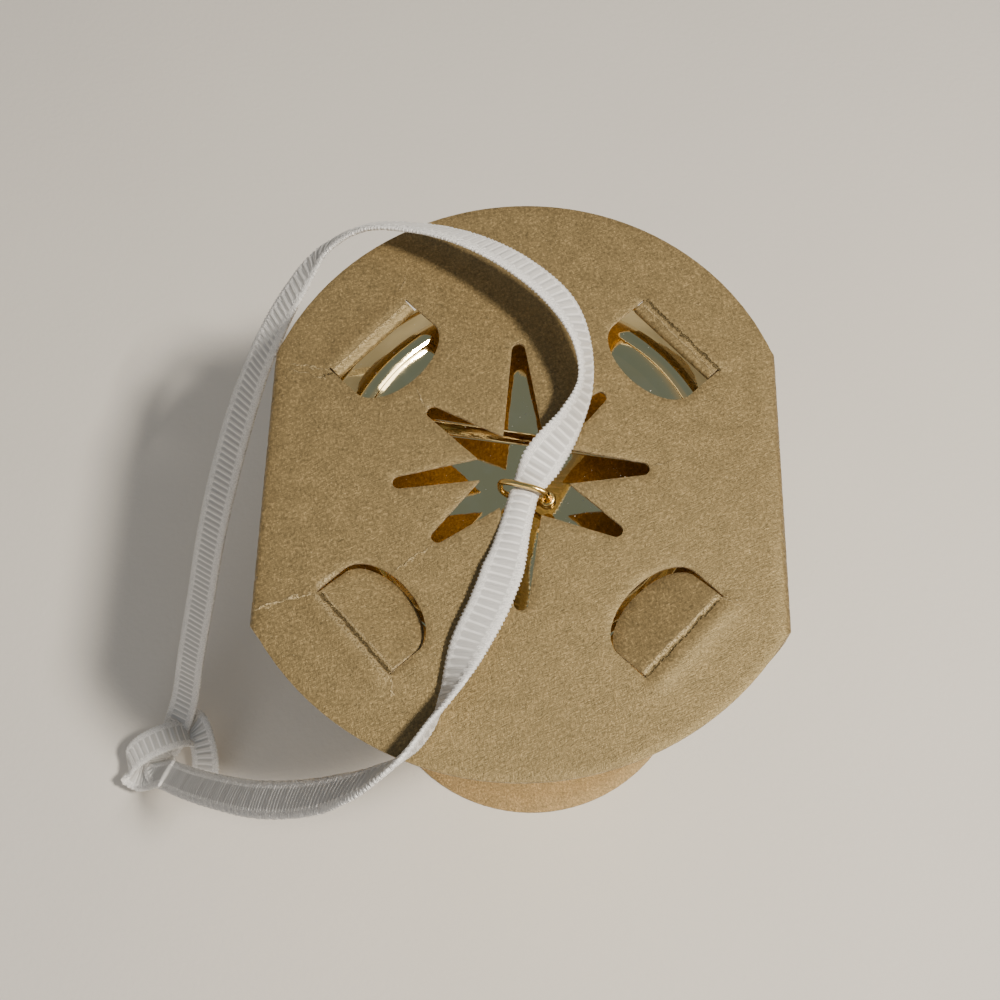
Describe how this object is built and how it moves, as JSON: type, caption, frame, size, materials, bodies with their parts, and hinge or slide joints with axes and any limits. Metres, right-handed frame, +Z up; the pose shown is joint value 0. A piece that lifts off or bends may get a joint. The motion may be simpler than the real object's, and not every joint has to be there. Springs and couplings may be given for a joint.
{
  "type": "ceramic cup ornament",
  "caption": "Gold-glazed ceramic takeaway-cup ornament held in a folded kraft card wrap with a star cut-out and fold-in flaps, with a wire eye and a knotted ribbon loop.",
  "frame": {"origin": "on the table, under the middle of the card wrap's box", "axes": "+Z up through the lid and the wire eye, +X across the two folds of the top panel, -Y towards the front edge that the camera looks over"},
  "size_m": [0.104, 0.0816, 0.0947],
  "materials": {
    "kraft_card": "matt uncoated kraft with fine fibres and pale cut edges",
    "gold_glaze": "mirror-bright gold lustre glaze",
    "gold_wire": "polished",
    "white_grosgrain": "ribbed grosgrain weave with braided edges"
  },
  "bodies": {
    "root": {"card_wrap": "kraft_card", "cup_ornament": "gold_glaze", "hanging_eye": "gold_wire", "ribbon_loop": "white_grosgrain", "ribbon_knot": "white_grosgrain"}
  },
  "joints": []
}
